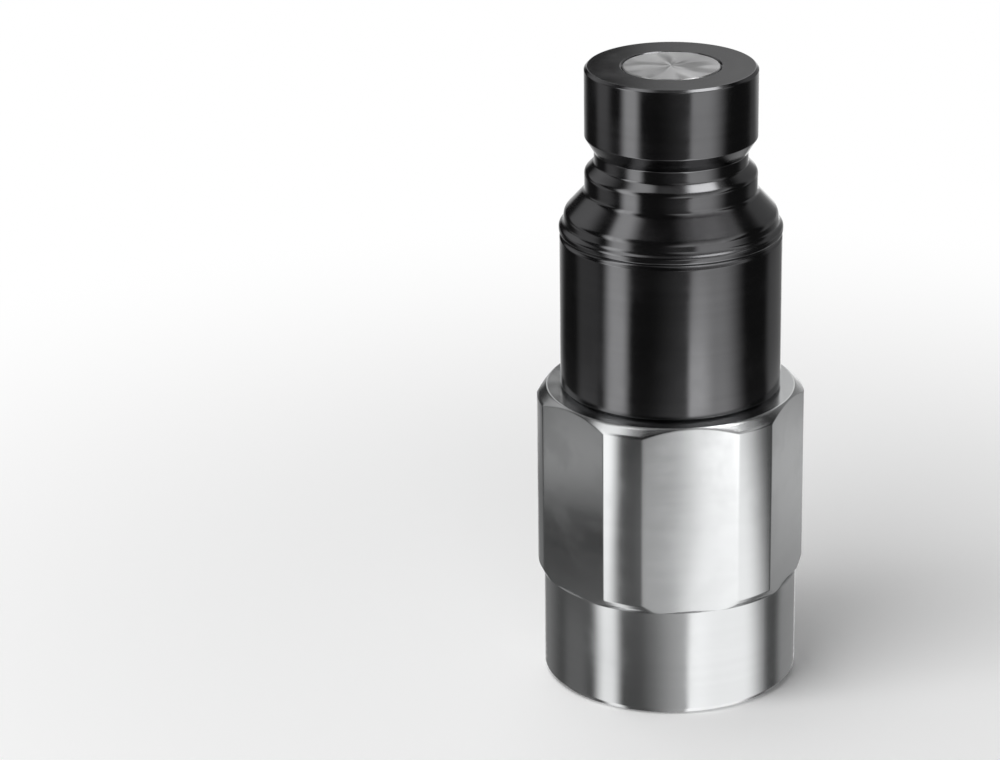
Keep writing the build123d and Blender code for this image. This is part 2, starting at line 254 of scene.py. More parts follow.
def closed_piece(
    name: str, points: np.ndarray, poles: bool, edge: np.ndarray | None = None
) -> bpy.types.Object:
    """Makes one closed mesh object from a grid of points.

    Rows and columns wrap round. With poles, the first and last rows are one point each and are closed by a
    fan of triangles.

    Args:
        name: Name of the object.
        points: Grid in millimetres, (rows, columns, 3).
        poles: True where the first and last rows shrink to a point.
        edge: Edge mark of each grid point, (rows, columns), or None for none.

    Returns:
        The object, linked to the scene, at the origin.
    """
    rows, columns = points.shape[:2]
    marks = np.zeros((rows, columns)) if edge is None else np.broadcast_to(edge, (rows, columns))
    if poles:
        vertices = np.concatenate([points[0, :1], points[1:-1].reshape(-1, 3), points[-1, :1]])
        marks = np.concatenate([marks[0, :1], marks[1:-1].ravel(), marks[-1, :1]])
        quads = grid_faces(rows - 2, columns, False) + 1
        low = 1 + np.arange(columns)
        high = 1 + (rows - 3) * columns + np.arange(columns)
        bottom = np.stack([np.zeros(columns, int), np.roll(low, -1), low], axis=-1)
        top = np.stack([high, np.roll(high, -1), np.full(columns, len(vertices) - 1)], axis=-1)
        fans = np.concatenate([bottom, top])
    else:
        vertices = points.reshape(-1, 3)
        marks = marks.ravel()
        quads = grid_faces(rows, columns, True)
        fans = np.zeros((0, 3), int)
    mesh = bpy.data.meshes.new(name)
    mesh.vertices.add(len(vertices))
    mesh.vertices.foreach_set("co", (vertices * METRES).astype(np.float32).ravel())
    loops = np.concatenate([quads.ravel(), fans.ravel()]).astype(np.int32)
    starts = np.concatenate([np.arange(len(quads)) * 4, len(quads) * 4 + np.arange(len(fans)) * 3])
    mesh.loops.add(len(loops))
    mesh.loops.foreach_set("vertex_index", loops)
    mesh.polygons.add(len(starts))
    mesh.polygons.foreach_set("loop_start", starts.astype(np.int32))
    mesh.polygons.foreach_set("use_smooth", np.ones(len(starts), bool))
    mesh.update(calc_edges=True)
    mesh.attributes.new(EDGE_ATTRIBUTE, "FLOAT", "POINT").data.foreach_set("value", marks.astype(np.float32))
    return new_object(name, mesh)


def settle(piece: bpy.types.Object, body: Body, node: str, material: bpy.types.Material) -> None:
    """Lets a piece ride on its body, stand for its node and wear its material.

    Args:
        piece: The new object.
        body: Body that it rides on.
        node: Node of the model that it stands for.
        material: Its material.
    """
    piece.data.materials.append(material)
    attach(piece, body.value)
    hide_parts(node)
    log.info("%s: %d faces, for node %s", piece.name, len(piece.data.polygons), node)


class Wiring:
    """Short calls for adding and joining nodes in one tree."""

    def __init__(self, tree: bpy.types.NodeTree) -> None:
        """Empties the tree and keeps it."""
        self.tree = tree
        tree.nodes.clear()

    def add(self, kind: str, **settings: object) -> bpy.types.Node:
        """Adds a node and sets its properties.

        Args:
            kind: Type name of the node.
            **settings: Property names and values.

        Returns:
            The node.
        """
        node = self.tree.nodes.new(kind)
        for key, value in settings.items():
            setattr(node, key, value)
        return node

    def join(self, source: bpy.types.NodeSocket, target: bpy.types.NodeSocket) -> None:
        """Joins an output to an input."""
        self.tree.links.new(source, target)

    def feed(self, *pairs: tuple[bpy.types.NodeSocket, object]) -> None:
        """Gives inputs their values, each an output to join or a plain value."""
        for socket, value in pairs:
            if isinstance(value, bpy.types.NodeSocket):
                self.join(value, socket)
            else:
                socket.default_value = value

    def math(
        self, operation: str, first: object, second: object = 0.0, clamp: bool = False
    ) -> bpy.types.NodeSocket:
        """Adds a Math node.

        Args:
            operation: Name of the operation.
            first: Output or number for the first input.
            second: Output or number for the second input.
            clamp: True to keep the result between 0 and 1.

        Returns:
            The node's output.
        """
        node = self.add("ShaderNodeMath", operation=operation, use_clamp=clamp)
        self.feed((node.inputs[0], first), (node.inputs[1], second))
        return node.outputs[0]

    def blend(self, share: object, first: object, second: object) -> bpy.types.NodeSocket:
        """Mixes two colours.

        Args:
            share: Output or number that says how much of the second colour shows.
            first: Output or colour of four numbers.
            second: Output or colour of four numbers.

        Returns:
            The mixed colour's output.
        """
        node = self.add("ShaderNodeMix", data_type="RGBA")
        self.feed((node.inputs[0], share), (node.inputs[6], first), (node.inputs[7], second))
        return node.outputs[2]

    def place(self) -> bpy.types.NodeSocket:
        """Point on the piece in metres, from the nipple's own origin."""
        return self.add("ShaderNodeTexCoord").outputs["Object"]

    def noise(
        self, place: bpy.types.NodeSocket, scale: object, detail: float, **settings: object
    ) -> bpy.types.Node:
        """Adds a noise over a place.

        Args:
            place: Output that gives the place.
            scale: Output or number for its scale.
            detail: Number of finer layers.
            **settings: Property names and values of the node.

        Returns:
            The node.
        """
        node = self.add("ShaderNodeTexNoise", **settings)
        inputs = node.inputs
        self.feed((inputs["Vector"], place), (inputs["Scale"], scale), (inputs["Detail"], detail))
        return node

    def spread(self, value: bpy.types.NodeSocket, low: float, high: float) -> bpy.types.NodeSocket:
        """Spreads the values between two bounds from 0 to 1 in a soft step."""
        node = self.add("ShaderNodeMapRange", interpolation_type="SMOOTHSTEP")
        inputs = node.inputs
        self.feed((inputs["Value"], value), (inputs["From Min"], low), (inputs["From Max"], high))
        return node.outputs[0]

    def relief(self, height: bpy.types.NodeSocket, depth: float) -> bpy.types.Node:
        """Adds a Bump node for a height, whose depth is in millimetres."""
        node = self.add("ShaderNodeBump")
        self.feed((node.inputs["Height"], height), (node.inputs["Distance"], depth * METRES))
        return node

    def finish(self, kind: str, surface: bpy.types.NodeSocket) -> None:
        """Joins a surface to an output node of a kind."""
        self.join(surface, self.add(kind).inputs["Surface"])


def new_material(name: str) -> tuple[bpy.types.Material, Wiring]:
    """Makes an empty material and gives it with its wiring."""
    material = bpy.data.materials.new(name)
    material.use_nodes = True
    return material, Wiring(material.node_tree)


def new_group(name: str, inputs: dict[str, float], outputs: list[str]) -> tuple[Wiring, dict, dict]:
    """Makes an empty shader group of plain numbers.

    Args:
        name: Name of the group.
        inputs: Names and default values of its inputs.
        outputs: Names of its outputs.

    Returns:
        The group's wiring, its inputs by name and its outputs by name.
    """
    tree = bpy.data.node_groups.new(name, "ShaderNodeTree")
    for key, value in inputs.items():
        tree.interface.new_socket(key, in_out="INPUT", socket_type="NodeSocketFloat").default_value = value
    for key in outputs:
        tree.interface.new_socket(key, in_out="OUTPUT", socket_type="NodeSocketFloat")
    wiring = Wiring(tree)
    start = wiring.add("NodeGroupInput")
    end = wiring.add("NodeGroupOutput")
    return wiring, {key: start.outputs[key] for key in inputs}, {key: end.inputs[key] for key in outputs}


def tool_marks_group() -> bpy.types.NodeTree:
    """Marks that a lathe leaves: fine rings on faces and fine lines round cylinders.

    Distance from the axis and height are the two coordinates of a noise, so that every mark runs round the
    axis. A second noise over the same place is broader by the factor of its scale and sets the tone.

    Returns:
        The group, with input Pitch in millimetres and outputs Height and Tone.
    """
    fine_detail, broad_detail, broad_scale = 2.0, 3.0, 0.09
    wiring, inputs, outputs = new_group("tool_marks", {"Pitch": 0.2}, ["Height", "Tone"])
    parts = wiring.add("ShaderNodeSeparateXYZ")
    wiring.join(wiring.place(), parts.inputs[0])
    east, north, height = parts.outputs
    squares = [wiring.math("MULTIPLY", east, east), wiring.math("MULTIPLY", north, north)]
    across = wiring.math("SQRT", wiring.math("ADD", *squares))
    rate = wiring.math("DIVIDE", 1.0 / METRES, inputs["Pitch"])
    both = wiring.add("ShaderNodeCombineXYZ")
    wiring.join(wiring.math("MULTIPLY", across, rate), both.inputs[0])
    wiring.join(wiring.math("MULTIPLY", height, rate), both.inputs[1])
    fine = wiring.noise(both.outputs[0], 1.0, fine_detail, noise_dimensions="2D")
    broad = wiring.noise(both.outputs[0], broad_scale, broad_detail, noise_dimensions="2D")
    wiring.join(fine.outputs[0], outputs["Height"])
    wiring.join(broad.outputs[0], outputs["Tone"])
    return wiring.tree


def handling_group() -> bpy.types.NodeTree:
    """Traces of handling: soft smudges of oil, and hairline scratches that run every way.

    A scratch is where a noise that is stretched along a slanting line comes near its highest value.

    Returns:
        The group, with input Size of a smudge in millimetres and outputs Smudge and Scratch from 0 to 1.
    """
    smudge_range = (0.42, 0.66)
    smudge_roughness = 0.55
    scratch_range = (0.70, 0.80)
    slant = (0.5, 0.9, 0.3)
    stretch = (2600.0, 90.0, 240.0)
    wiring, inputs, outputs = new_group("handling", {"Size": 6.0}, ["Smudge", "Scratch"])
    place = wiring.place()
    smudge = wiring.noise(place, wiring.math("DIVIDE", 1.0 / METRES, inputs["Size"]), 3.0)
    smudge.inputs["Roughness"].default_value = smudge_roughness
    wiring.join(wiring.spread(smudge.outputs[0], *smudge_range), outputs["Smudge"])
    turned = wiring.add("ShaderNodeMapping")
    turned.inputs["Rotation"].default_value = slant
    turned.inputs["Scale"].default_value = stretch
    wiring.join(place, turned.inputs["Vector"])
    scratch = wiring.noise(turned.outputs[0], 1.0, 1.0)
    wiring.join(wiring.spread(scratch.outputs[0], *scratch_range), outputs["Scratch"])
    return wiring.tree


def edge_wear_group() -> bpy.types.NodeTree:
    """Wear on rounded edges, broken up by a fine noise.

    Returns:
        The group, with input Amount and output Mask from 0 to 1.
    """
    grains_per_metre = 900.0
    wiring, inputs, outputs = new_group("edge_wear", {"Amount": 0.5}, ["Mask"])
    mark = wiring.add("ShaderNodeAttribute", attribute_name=EDGE_ATTRIBUTE)
    grain = wiring.noise(wiring.place(), grains_per_metre, 3.0)
    broken = wiring.math("MULTIPLY", mark.outputs["Fac"], grain.outputs[0])
    wiring.join(wiring.math("MULTIPLY", broken, inputs["Amount"], clamp=True), outputs["Mask"])
    return wiring.tree


class ShopEffects:
    """The shader groups that several finishes share."""

    def __init__(self) -> None:
        """Builds each group once."""
        self.tool_marks = tool_marks_group()
        self.handling = handling_group()
        self.edge_wear = edge_wear_group()

    def place(self, wiring: Wiring, tree: bpy.types.NodeTree, **values: float) -> bpy.types.Node:
        """Places a group in a material.

        Args:
            wiring: The material's wiring.
            tree: The group.
            **values: Input names, in lower case, and their values.

        Returns:
            The group's node.
        """
        node = wiring.add("ShaderNodeGroup", node_tree=tree)
        for key, value in values.items():
            node.inputs[key.capitalize()].default_value = value
        return node


@dataclass(frozen=True)
class Swirl:
    """Swirl of a face that was polished by hand.

    It darkens the colour from sector to sector, which is painted shade standing in for the bright and dark
    fans that a turned face reflects, and its relief turns the gloss from sector to sector. It is a noise
    over the direction from the axis plus a small share of the place itself, so that it changes round the
    axis and only slowly along the radius.
    """

    depth: float = 0.03
    # Share of the swirl that darkens the colour: painted shade standing in for the reflected fans
    painted_shade: float = 0.58
    # Colour that the painted shade darkens towards
    painted_shade_colour: tuple[float, float, float] = (0.12, 0.12, 0.12)
    place_share: float = 150.0
    scale: float = 1.05
    detail: float = 0.6
    low: float = 0.40
    high: float = 0.68

    def height(self, wiring: Wiring) -> bpy.types.NodeSocket:
        """Adds the swirl's nodes to a material.

        Args:
            wiring: The material's wiring.

        Returns:
            Output that gives the swirl, from 0 to 1.
        """
        across = wiring.add("ShaderNodeVectorMath", operation="MULTIPLY")
        wiring.feed((across.inputs[0], wiring.place()), (across.inputs[1], (1.0, 1.0, 0.0)))
        direction = wiring.add("ShaderNodeVectorMath", operation="NORMALIZE")
        wiring.join(across.outputs[0], direction.inputs[0])
        bent = wiring.add("ShaderNodeVectorMath", operation="MULTIPLY_ADD")
        wiring.join(across.outputs[0], bent.inputs[0])
        bent.inputs[1].default_value = (self.place_share, self.place_share, 0.0)
        wiring.join(direction.outputs[0], bent.inputs[2])
        clouds = wiring.noise(bent.outputs[0], self.scale, self.detail)
        return wiring.spread(clouds.outputs[0], self.low, self.high)


@dataclass(frozen=True)
class MetalFinish:
    """A machined metal surface.

    The colour moves between two tones with the tool marks and turns to the worn colour on edges. Roughness
    is a base value that smudges and scratches raise and tool marks vary. The tool marks are also a fine
    relief. Pitch and depth of the marks are in millimetres.
    """

    name: str
    colour: tuple[float, float, float]
    tone: tuple[float, float, float]
    worn: tuple[float, float, float]
    roughness: float
    smudge: float = 0.04
    scratch: float = 0.015
    mark_pitch: float = 0.25
    mark_depth: float = 0.0004
    mark_spread: float = 0.05
    anisotropy: float = 0.0
    quarter_turn: float = 0.25
    wear: float = 0.4
    swirl: Swirl | None = None

    def material(self, effects: ShopEffects) -> bpy.types.Material:
        """Builds the material.

        Args:
            effects: The shared shader groups.

        Returns:
            The material.
        """
        material, wiring = new_material(self.name)
        shader = wiring.add("ShaderNodeBsdfPrincipled")
        shader.inputs["Metallic"].default_value = 1.0
        shader.inputs["Anisotropic"].default_value = self.anisotropy
        shader.inputs["Anisotropic Rotation"].default_value = self.quarter_turn
        marks = effects.place(wiring, effects.tool_marks, pitch=self.mark_pitch)
        traces = effects.place(wiring, effects.handling)
        edges = effects.place(wiring, effects.edge_wear, amount=self.wear)
        relief = wiring.relief(marks.outputs["Height"], self.mark_depth)
        wiring.join(relief.outputs[0], shader.inputs["Normal"])
        toned = wiring.blend(marks.outputs["Tone"], (*self.colour, 1.0), (*self.tone, 1.0))
        if self.swirl is not None:
            # The swirl darkens the colour by sector as painted shade for the fans a turned face reflects;
            # its relief is real
            height = self.swirl.height(wiring)
            painted_shade = wiring.math("MULTIPLY", height, self.swirl.painted_shade)
            toned = wiring.blend(painted_shade, toned, (*self.swirl.painted_shade_colour, 1.0))
            waves = wiring.relief(height, self.swirl.depth)
            wiring.join(waves.outputs[0], relief.inputs["Normal"])
        coloured = wiring.blend(edges.outputs["Mask"], toned, (*self.worn, 1.0))
        wiring.join(coloured, shader.inputs["Base Color"])
        smudged = wiring.math("MULTIPLY", traces.outputs["Smudge"], self.smudge)
        scratched = wiring.math("MULTIPLY", traces.outputs["Scratch"], self.scratch)
        varied = wiring.math("MULTIPLY", marks.outputs["Tone"], self.mark_spread)
        rough = wiring.math("ADD", wiring.math("ADD", smudged, scratched), varied)
        wiring.join(wiring.math("ADD", rough, self.roughness, clamp=True), shader.inputs["Roughness"])
        if self.anisotropy > 0.0:
            along = wiring.add("ShaderNodeTangent", direction_type="RADIAL", axis="Z")
            wiring.join(along.outputs[0], shader.inputs["Tangent"])
        wiring.finish("ShaderNodeOutputMaterial", shader.outputs[0])
        return material


@dataclass(frozen=True)
class MouldedFinish:
    """Moulded rubber or plastic with a faint grain, in millimetres, and smudges."""

    name: str
    colour: tuple[float, float, float]
    tone: tuple[float, float, float]
    roughness: float
    smudge_size: float = 3.0
    smudge: float = 0.08
    grain_size: float = 0.35
    grain_depth: float = 0.01
    coat: float = 0.0

    def material(self, effects: ShopEffects) -> bpy.types.Material:
        """Builds the material.

        Args:
            effects: The shared shader groups.

        Returns:
            The material.
        """
        material, wiring = new_material(self.name)
        shader = wiring.add("ShaderNodeBsdfPrincipled")
        shader.inputs["Coat Weight"].default_value = self.coat
        traces = effects.place(wiring, effects.handling, size=self.smudge_size)
        colour = wiring.blend(traces.outputs["Smudge"], (*self.colour, 1.0), (*self.tone, 1.0))
        wiring.join(colour, shader.inputs["Base Color"])
        smudged = wiring.math("MULTIPLY", traces.outputs["Smudge"], self.smudge)
        wiring.join(wiring.math("ADD", smudged, self.roughness), shader.inputs["Roughness"])
        grain = wiring.noise(wiring.place(), 1.0 / (self.grain_size * METRES), 2.0)
        relief = wiring.relief(grain.outputs[0], self.grain_depth)
        wiring.join(relief.outputs[0], shader.inputs["Normal"])
        wiring.finish("ShaderNodeOutputMaterial", shader.outputs[0])
        return material


class Finishes:
    """Every finish of the nipple, by material slot."""

    KINDS = {
        Slot.BLACK: MetalFinish(
            name="black_plated_steel",
            colour=(0.150, 0.150, 0.154),
            tone=(0.175, 0.175, 0.180),
            worn=(0.42, 0.42, 0.43),
            roughness=0.11,
            smudge=0.05,
            mark_pitch=0.12,
            mark_depth=0.0003,
            anisotropy=0.3,
            wear=0.35,
        ),
        Slot.BRIGHT: MetalFinish(
            name="bright_zinc_plated_steel",
            colour=(0.70, 0.71, 0.715),
            tone=(0.76, 0.77, 0.775),
            worn=(0.84, 0.845, 0.85),
            roughness=0.17,
            smudge=0.05,
            mark_pitch=0.18,
            mark_depth=0.0006,
            anisotropy=0.45,
            wear=0.5,
        ),
        Slot.VALVE: MetalFinish(
            name="face_turned_valve_steel",
            colour=(0.86, 0.86, 0.865),
            tone=(0.93, 0.93, 0.935),
            worn=(0.93, 0.93, 0.93),
            roughness=0.28,
            smudge=0.03,
            mark_pitch=0.22,
            mark_depth=0.0012,
            anisotropy=0.85,
            wear=0.5,
            # The swirl paints shade by sector onto the face, standing in for its reflected fans
            swirl=Swirl(),
        ),
        Slot.INNER: MetalFinish(
            name="machined_steel",
            colour=(0.50, 0.50, 0.495),
            tone=(0.58, 0.58, 0.57),
            worn=(0.68, 0.68, 0.67),
            roughness=0.32,
            mark_pitch=0.3,
            anisotropy=0.3,
        ),
        Slot.SPRING: MetalFinish(
            name="drawn_spring_wire",
            colour=(0.36, 0.36, 0.36),
            tone=(0.46, 0.46, 0.455),
            worn=(0.6, 0.6, 0.6),
            roughness=0.28,
            mark_pitch=0.5,
        ),
        Slot.BRONZE: MetalFinish(
            name="bearing_bronze",
            colour=(0.56, 0.38, 0.18),
            tone=(0.66, 0.47, 0.25),
            worn=(0.78, 0.58, 0.34),
            roughness=0.33,
        ),
        Slot.RUBBER: MouldedFinish(
            name="nitrile_rubber",
            colour=(0.022, 0.022, 0.022),
            tone=(0.034, 0.034, 0.033),
            roughness=0.46,
        ),
        Slot.PLASTIC: MouldedFinish(
            name="white_seal_plastic",
            colour=(0.80, 0.78, 0.73),
            tone=(0.86, 0.84, 0.79),
            roughness=0.38,
            coat=0.1,
        ),
    }

    def __init__(self) -> None:
        """Builds a material for each slot."""
        effects = ShopEffects()
        self.materials = {slot: finish.material(effects) for slot, finish in self.KINDS.items()}

    def __getitem__(self, slot: Slot) -> bpy.types.Material:
        """The material of a slot."""
        return self.materials[slot]

    def dress_nodes(self, record: dict) -> None:
        """Gives every node of the model its slot's material.

        Args:
            record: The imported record, whose subparts name each node's slot.
        """
        for part in record["subparts"]:
            node = frame["nodes"][part["node"]]
            for place in node.material_slots:
                place.material = self[Slot(part["material_slot"])]
        log.info("finishes on %d nodes", len(record["subparts"]))


@dataclass(frozen=True)
class NippleBody:
    """Black body: flat nose, locking groove, collar, cone, rim, barrel and the spigot inside the adapter."""

    length: float = 91.4
    joint_face: float = 44.0
    nose_radius: float = 12.25
    nose_chamfer: float = 0.4
    nose_bottom: float = 81.4
    groove_radius: float = 10.9
    groove_bottom: float = 77.5
    groove_top: float = 79.2
    collar_top: float = 76.2
    cone_top: float = 73.4
    cone_radius: float = 15.15
    cone_bottom: float = 70.2
    shoulder_radius: float = 15.3
    shoulder_bottom: float = 68.8
    rim_radius: float = 15.9
    rim_top: float = 68.2
    rim_bottom: float = 67.5
    relief_radius: float = 15.4
    relief_height: float = 67.0
    barrel_radius: float = 15.8
    barrel_top: float = 66.5
    barrel_chamfer: float = 0.5
    undercut_radius: float = 13.6
    undercut_bottom: float = 42.8
    spigot_radius: float = 14.3
    spigot_bottom: float = 32.0
    spigot_chamfer: float = 0.6
    bore_radius: float = 6.95
    bore_bottom: float = 85.4
    bore_chamfer: float = 0.25
    chamber_radius: float = 8.7
    chamber_bottom: float = 70.4
    guide_chamber_radius: float = 10.4
    guide_chamber_top: float = 67.4
    guide_face: float = 54.0
    insert_radius: float = 11.2
    columns: int = 144

    def outline(self) -> np.ndarray:
        """Rounded outline of the body, up the outside, over the nose and down the bores."""
        return rounded_outline(
            [
                (self.spigot_radius - self.spigot_chamfer, self.spigot_bottom, 0.1),
                (self.spigot_radius, self.spigot_bottom + self.spigot_chamfer, 0.1),
                (self.spigot_radius, self.undercut_bottom, 0.1),
                (self.undercut_radius, self.undercut_bottom, 0.2),
                (self.undercut_radius, self.joint_face, 0.2),
                (self.barrel_radius - self.barrel_chamfer, self.joint_face, 0.12),
                (self.barrel_radius, self.joint_face + self.barrel_chamfer, 0.2),
                (self.barrel_radius, self.barrel_top, 0.15),
                (self.relief_radius, self.relief_height, 0.3),
                (self.rim_radius, self.rim_bottom, 0.3),
                (self.rim_radius, self.rim_top, 0.5),
                (self.shoulder_radius, self.shoulder_bottom, 0.8),
                (self.cone_radius, self.cone_bottom, 1.2),
                (self.nose_radius, self.cone_top, 1.0),
                (self.nose_radius, self.collar_top, 0.9),
                (self.groove_radius, self.groove_bottom, 0.3),
                (self.groove_radius, self.groove_top, 0.4),
                (self.nose_radius, self.nose_bottom, 0.25),
                (self.nose_radius, self.length - self.nose_chamfer, 0.15),
                (self.nose_radius - self.nose_chamfer, self.length, 0.15),
                (self.bore_radius + self.bore_chamfer, self.length, 0.08),
                (self.bore_radius, self.length - self.bore_chamfer, 0.08),
                (self.bore_radius, self.bore_bottom, 0.08),
                (self.chamber_radius, self.bore_bottom, 0.15),
                (self.chamber_radius, self.chamber_bottom, 0.3),
                (self.guide_chamber_radius, self.guide_chamber_top, 0.3),
                (self.guide_chamber_radius, self.guide_face, 0.15),
                (self.insert_radius, self.guide_face, 0.1),
                (self.insert_radius, self.spigot_bottom, 0.15),
            ],
            closed=True,
        )

    def build(self, finishes: Finishes) -> None:
        """Turns the outline round the axis."""
        outline = self.outline()
        points = swept_points(outline[:, :1], outline[:, 1:2], plain_turn(self.columns))
        piece = closed_piece("turned_body", points, poles=False, edge=outline[:, 2:3])
        settle(piece, Body.HOUSING, "nipple_body", finishes[Slot.BLACK])


@dataclass(frozen=True)
class HexAdapter:
    """Bright adapter: a turned blank with six milled flats, a round skirt and a threaded port.

    The outside is the lower of two surfaces, the turned blank and the hexagon, and the rows of its grid
    follow the curves where they meet. The flats are crowned by a few hundredths, as rolled bar is. Rows are
    given as shares of a slope or as distances from its end, and seams are the small steps between two sets
    of rows.
    """

    length: float = 44.0
    flats: int = 6
    flat_step: float = 60.0
    first_flat: float = -90.0
    across_flats: float = 36.0
    corner_radius: float = 19.2
    crown: float = 0.09
    edge_width: float = 0.10
    skirt_radius: float = 18.3
    skirt_height: float = 15.9
    foot_chamfer: float = 0.9
    taper_radius: float = 18.6
    taper_height: float = 1.3
    top_radius: float = 17.85
    socket_radius: float = 14.35
    socket_bottom: float = 31.5
    socket_chamfer: float = 0.3
    pocket_radius: float = 11.2
    pocket_bottom: float = 21.0
    passage_radius: float = 9.5
    port_radius: float = 12.06
    port_depth: float = 17.5
    port_chamfer: float = 1.3
    thread_depth: float = 1.16
    thread_pitch: float = 1.814
    thread_crest: float = 0.14
    thread_flank: float = 0.72
    runout: tuple[float, float] = (14.4, 16.2)
    rows_per_pitch: int = 14
    columns: int = 132
    edge_columns: tuple[float, ...] = (-0.9, -0.45, -0.2, 0.0, 0.2, 0.45, 0.9)
    taper_rows: tuple[float, ...] = (0.0, 0.5, 0.85, 1.0)
    rows_above_taper: tuple[float, ...] = (0.06, 0.14, 0.3, 0.7)
    middle_rows: int = 5
    middle_margin: float = 4.0
    rows_below_bevel: tuple[float, ...] = (0.8, 0.3, 0.14, 0.07, 0.03)
    bevel_rows: tuple[float, ...] = (0.0, 0.25, 0.5, 0.75, 1.0)
    least_taper: float = 0.06
    seam: float = 0.02
    top_seam: float = 0.03
    top_rings: tuple[float, ...] = (0.05, 0.2)
    mouth_rings: tuple[float, ...] = (0.03, 0.2)
    mouth_lead: float = 1.4
    taper_lead: float = 0.35
    mouth_width: float = 0.08
    wear_width: float = 0.08
    corner_wear_width: float = 0.12

    def edge_angle(self) -> float:
        """Angle from the middle of a flat to its edge on the turned corner, in radians."""
        return math.acos((0.5 * self.across_flats - self.crown) / self.corner_radius)

    def angles(self) -> np.ndarray:
        """Column angles, close together along the edges of the six flats."""
        middles = np.radians(np.arange(self.flats) * self.flat_step + self.first_flat)
        edges = np.concatenate([middles - self.edge_angle(), middles + self.edge_angle()])
        return angles_round(self.columns, edges, np.radians(np.array(self.edge_columns)))

    def flat_radius(self, angles: np.ndarray) -> np.ndarray:
        """Distance from the axis to the flats.

        It is the distance to the flat, less its crown, over the cosine of the angle from the flat's middle.
        """
        half = 0.5 * self.flat_step
        offset = (angles + math.radians(half - self.first_flat)) % math.radians(self.flat_step)
        offset = offset - math.radians(half)
        drop = self.crown * (np.tan(offset) / math.tan(self.edge_angle())) ** 2
        return (0.5 * self.across_flats - drop) / np.cos(offset)

    def hexagon_rows(self, angles: np.ndarray) -> tuple[np.ndarray, np.ndarray]:
        """Rows of the hexagon from the skirt to the top face.

        Args:
            angles: Column angles.

        Returns:
            Radius and height of each point, each (rows, columns).
        """
        flats = self.flat_radius(angles)
        reach = np.minimum(flats, self.corner_radius)
        slope = (self.corner_radius - self.taper_radius) / self.taper_height
        low = self.skirt_height + np.maximum((reach - self.taper_radius) / slope, self.least_taper)
        bevel_start = self.length - (self.corner_radius - self.top_radius)
        high = bevel_start + self.corner_radius - reach
        bottom = self.skirt_height + self.seam
        lowest, highest = self.skirt_height + self.middle_margin, bevel_start - self.middle_margin
        height = np.concatenate(
            [
                bottom + (low - bottom) * np.array(self.taper_rows)[:, None],
                low + np.array(self.rows_above_taper)[:, None],
                np.linspace(lowest, highest, self.middle_rows)[:, None] + 0.0 * reach,
                high - np.array(self.rows_below_bevel)[:, None],
                high + (self.length - self.top_seam - high) * np.array(self.bevel_rows)[:, None],
            ]
        )
        blank = np.minimum(
            self.taper_radius + slope * (height - self.skirt_height),
            self.corner_radius + bevel_start - height,
        )
        blank = np.minimum(blank, self.corner_radius)
        radius = soft_minimum(blank, flats[None, :], self.edge_width)
        return radius, height

    def hexagon_wear(self, angles: np.ndarray, radius: np.ndarray) -> np.ndarray:
        """Edge marks of the hexagon's rows, 1 where a flat's own radius is the corner's and the surface's.

        Args:
            angles: Column angles.
            radius: Radius of each point, (rows, columns).

        Returns:
            Edge mark of each point, (rows, columns).
        """
        flats = self.flat_radius(angles)[None, :]
        on_surface = 1.0 - np.clip(np.abs(flats - radius) / self.wear_width, 0.0, 1.0)
        at_corner = 1.0 - np.clip(np.abs(flats - self.corner_radius) / self.corner_wear_width, 0.0, 1.0)
        return on_surface * at_corner

    def thread_rows(self, angles: np.ndarray) -> tuple[np.ndarray, np.ndarray]:
        """Rows of the port from its bottom down to its mouth.

        The groove's depth is a rounded triangle of the height less the angle's share of the pitch, so that
        it climbs one pitch a turn. It fades out over the run-out, and the mouth's chamfer cuts it off.

        Args:
            angles: Column angles.

        Returns:
            Radius and height of each point, each (rows, columns).
        """
        start, end = self.runout
        count = int(self.rows_per_pitch * end / self.thread_pitch)
        height = np.linspace(end, self.seam, count)[:, None] + 0.0 * angles[None, :]
        phase = height / self.thread_pitch - angles[None, :] / TURN
        wave = np.abs(2.0 * (phase % 1.0) - 1.0)
        depth = np.clip((wave - self.thread_crest) / self.thread_flank, 0.0, 1.0)
        depth = 0.5 * depth + 0.5 * soft_step(depth)
        fade = soft_step((end - height) / (end - start))
        groove = self.port_radius + self.thread_depth * depth * fade
        mouth = self.port_radius + self.port_chamfer - height
        return -soft_minimum(-groove, -mouth, self.mouth_width), height

    def foot(self) -> np.ndarray:
        """Outline from the port's mouth over the foot and up the skirt to the hexagon.

        Its first and last corners only lead the arcs beside them and are left out.
        """
        skirt_top = self.skirt_height - self.seam
        return rounded_outline(
            [
                (self.port_radius + self.mouth_lead, 0.0, NO_ROUNDING),
                (self.skirt_radius - self.foot_chamfer, 0.0, 0.15),
                (self.skirt_radius, self.foot_chamfer, 0.2),
                (self.skirt_radius, skirt_top, 0.08),
                (self.taper_radius - self.taper_lead, skirt_top + self.seam, NO_ROUNDING),
            ],
            closed=False,
        )[1:-1]

    def inside(self) -> np.ndarray:
        """Outline from the top face down the socket, the pocket and the passage to the port's thread."""
        return rounded_outline(
            [
                (self.top_radius, self.length, NO_ROUNDING),
                (self.socket_radius + self.socket_chamfer, self.length, 0.05),
                (self.socket_radius, self.length - self.socket_chamfer, 0.05),
                (self.socket_radius, self.socket_bottom, 0.15),
                (self.pocket_radius, self.socket_bottom, 0.1),
                (self.pocket_radius, self.pocket_bottom, 0.1),
                (self.passage_radius, self.pocket_bottom, 0.1),
                (self.passage_radius, self.port_depth, 0.15),
                (self.port_radius, self.port_depth, 0.1),
                (self.port_radius, self.runout[1], NO_ROUNDING),
            ],
            closed=False,
        )[1:-1]

